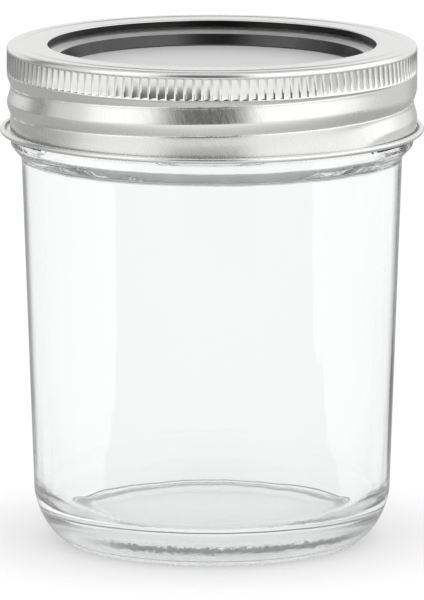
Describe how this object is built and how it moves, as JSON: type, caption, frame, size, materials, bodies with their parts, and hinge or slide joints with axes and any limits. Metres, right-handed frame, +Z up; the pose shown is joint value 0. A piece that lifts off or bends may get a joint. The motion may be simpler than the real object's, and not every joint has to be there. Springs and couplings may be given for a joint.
{
  "type": "wide-mouth jar",
  "caption": "Clear glass preserving jar with a sunk tinplate lid, a sealing ring and a knurled screw band that unscrews and lifts off.",
  "frame": {"origin": "centre of the jar's resting ring, on the surface that it stands on", "axes": "+Z up the jar's axis, -Y towards the picture's camera"},
  "size_m": [0.0746, 0.0746, 0.0882],
  "materials": {
    "glass": "pressed soda-lime glass, clear and fire-polished",
    "lid_tinplate": "satin tinplate",
    "plastisol": "flowed-in plastisol, satin",
    "band_tinplate": "brushed tinplate, bright"
  },
  "bodies": {
    "jar": {"glass_jar": "glass"},
    "lid": {"lid_disc": "lid_tinplate", "sealing_ring": "plastisol"},
    "band": {"screw_band": "band_tinplate"}
  },
  "joints": [
    {"name": "lid_lift", "type": "slide", "parent": "jar", "child": "lid", "axis": [0, 0, 1], "range_m": [0, 0.02032]},
    {"name": "band_turn", "type": "hinge", "parent": "lid", "child": "band", "pos_m": [0, 0, 0.0804], "axis": [0, 0, 1], "range_deg": [0, 1440]}
  ],
  "couplings": [
    {"joint": "lid_lift", "follows": "band_turn", "m_per_rad": 0.00080851}
  ]
}
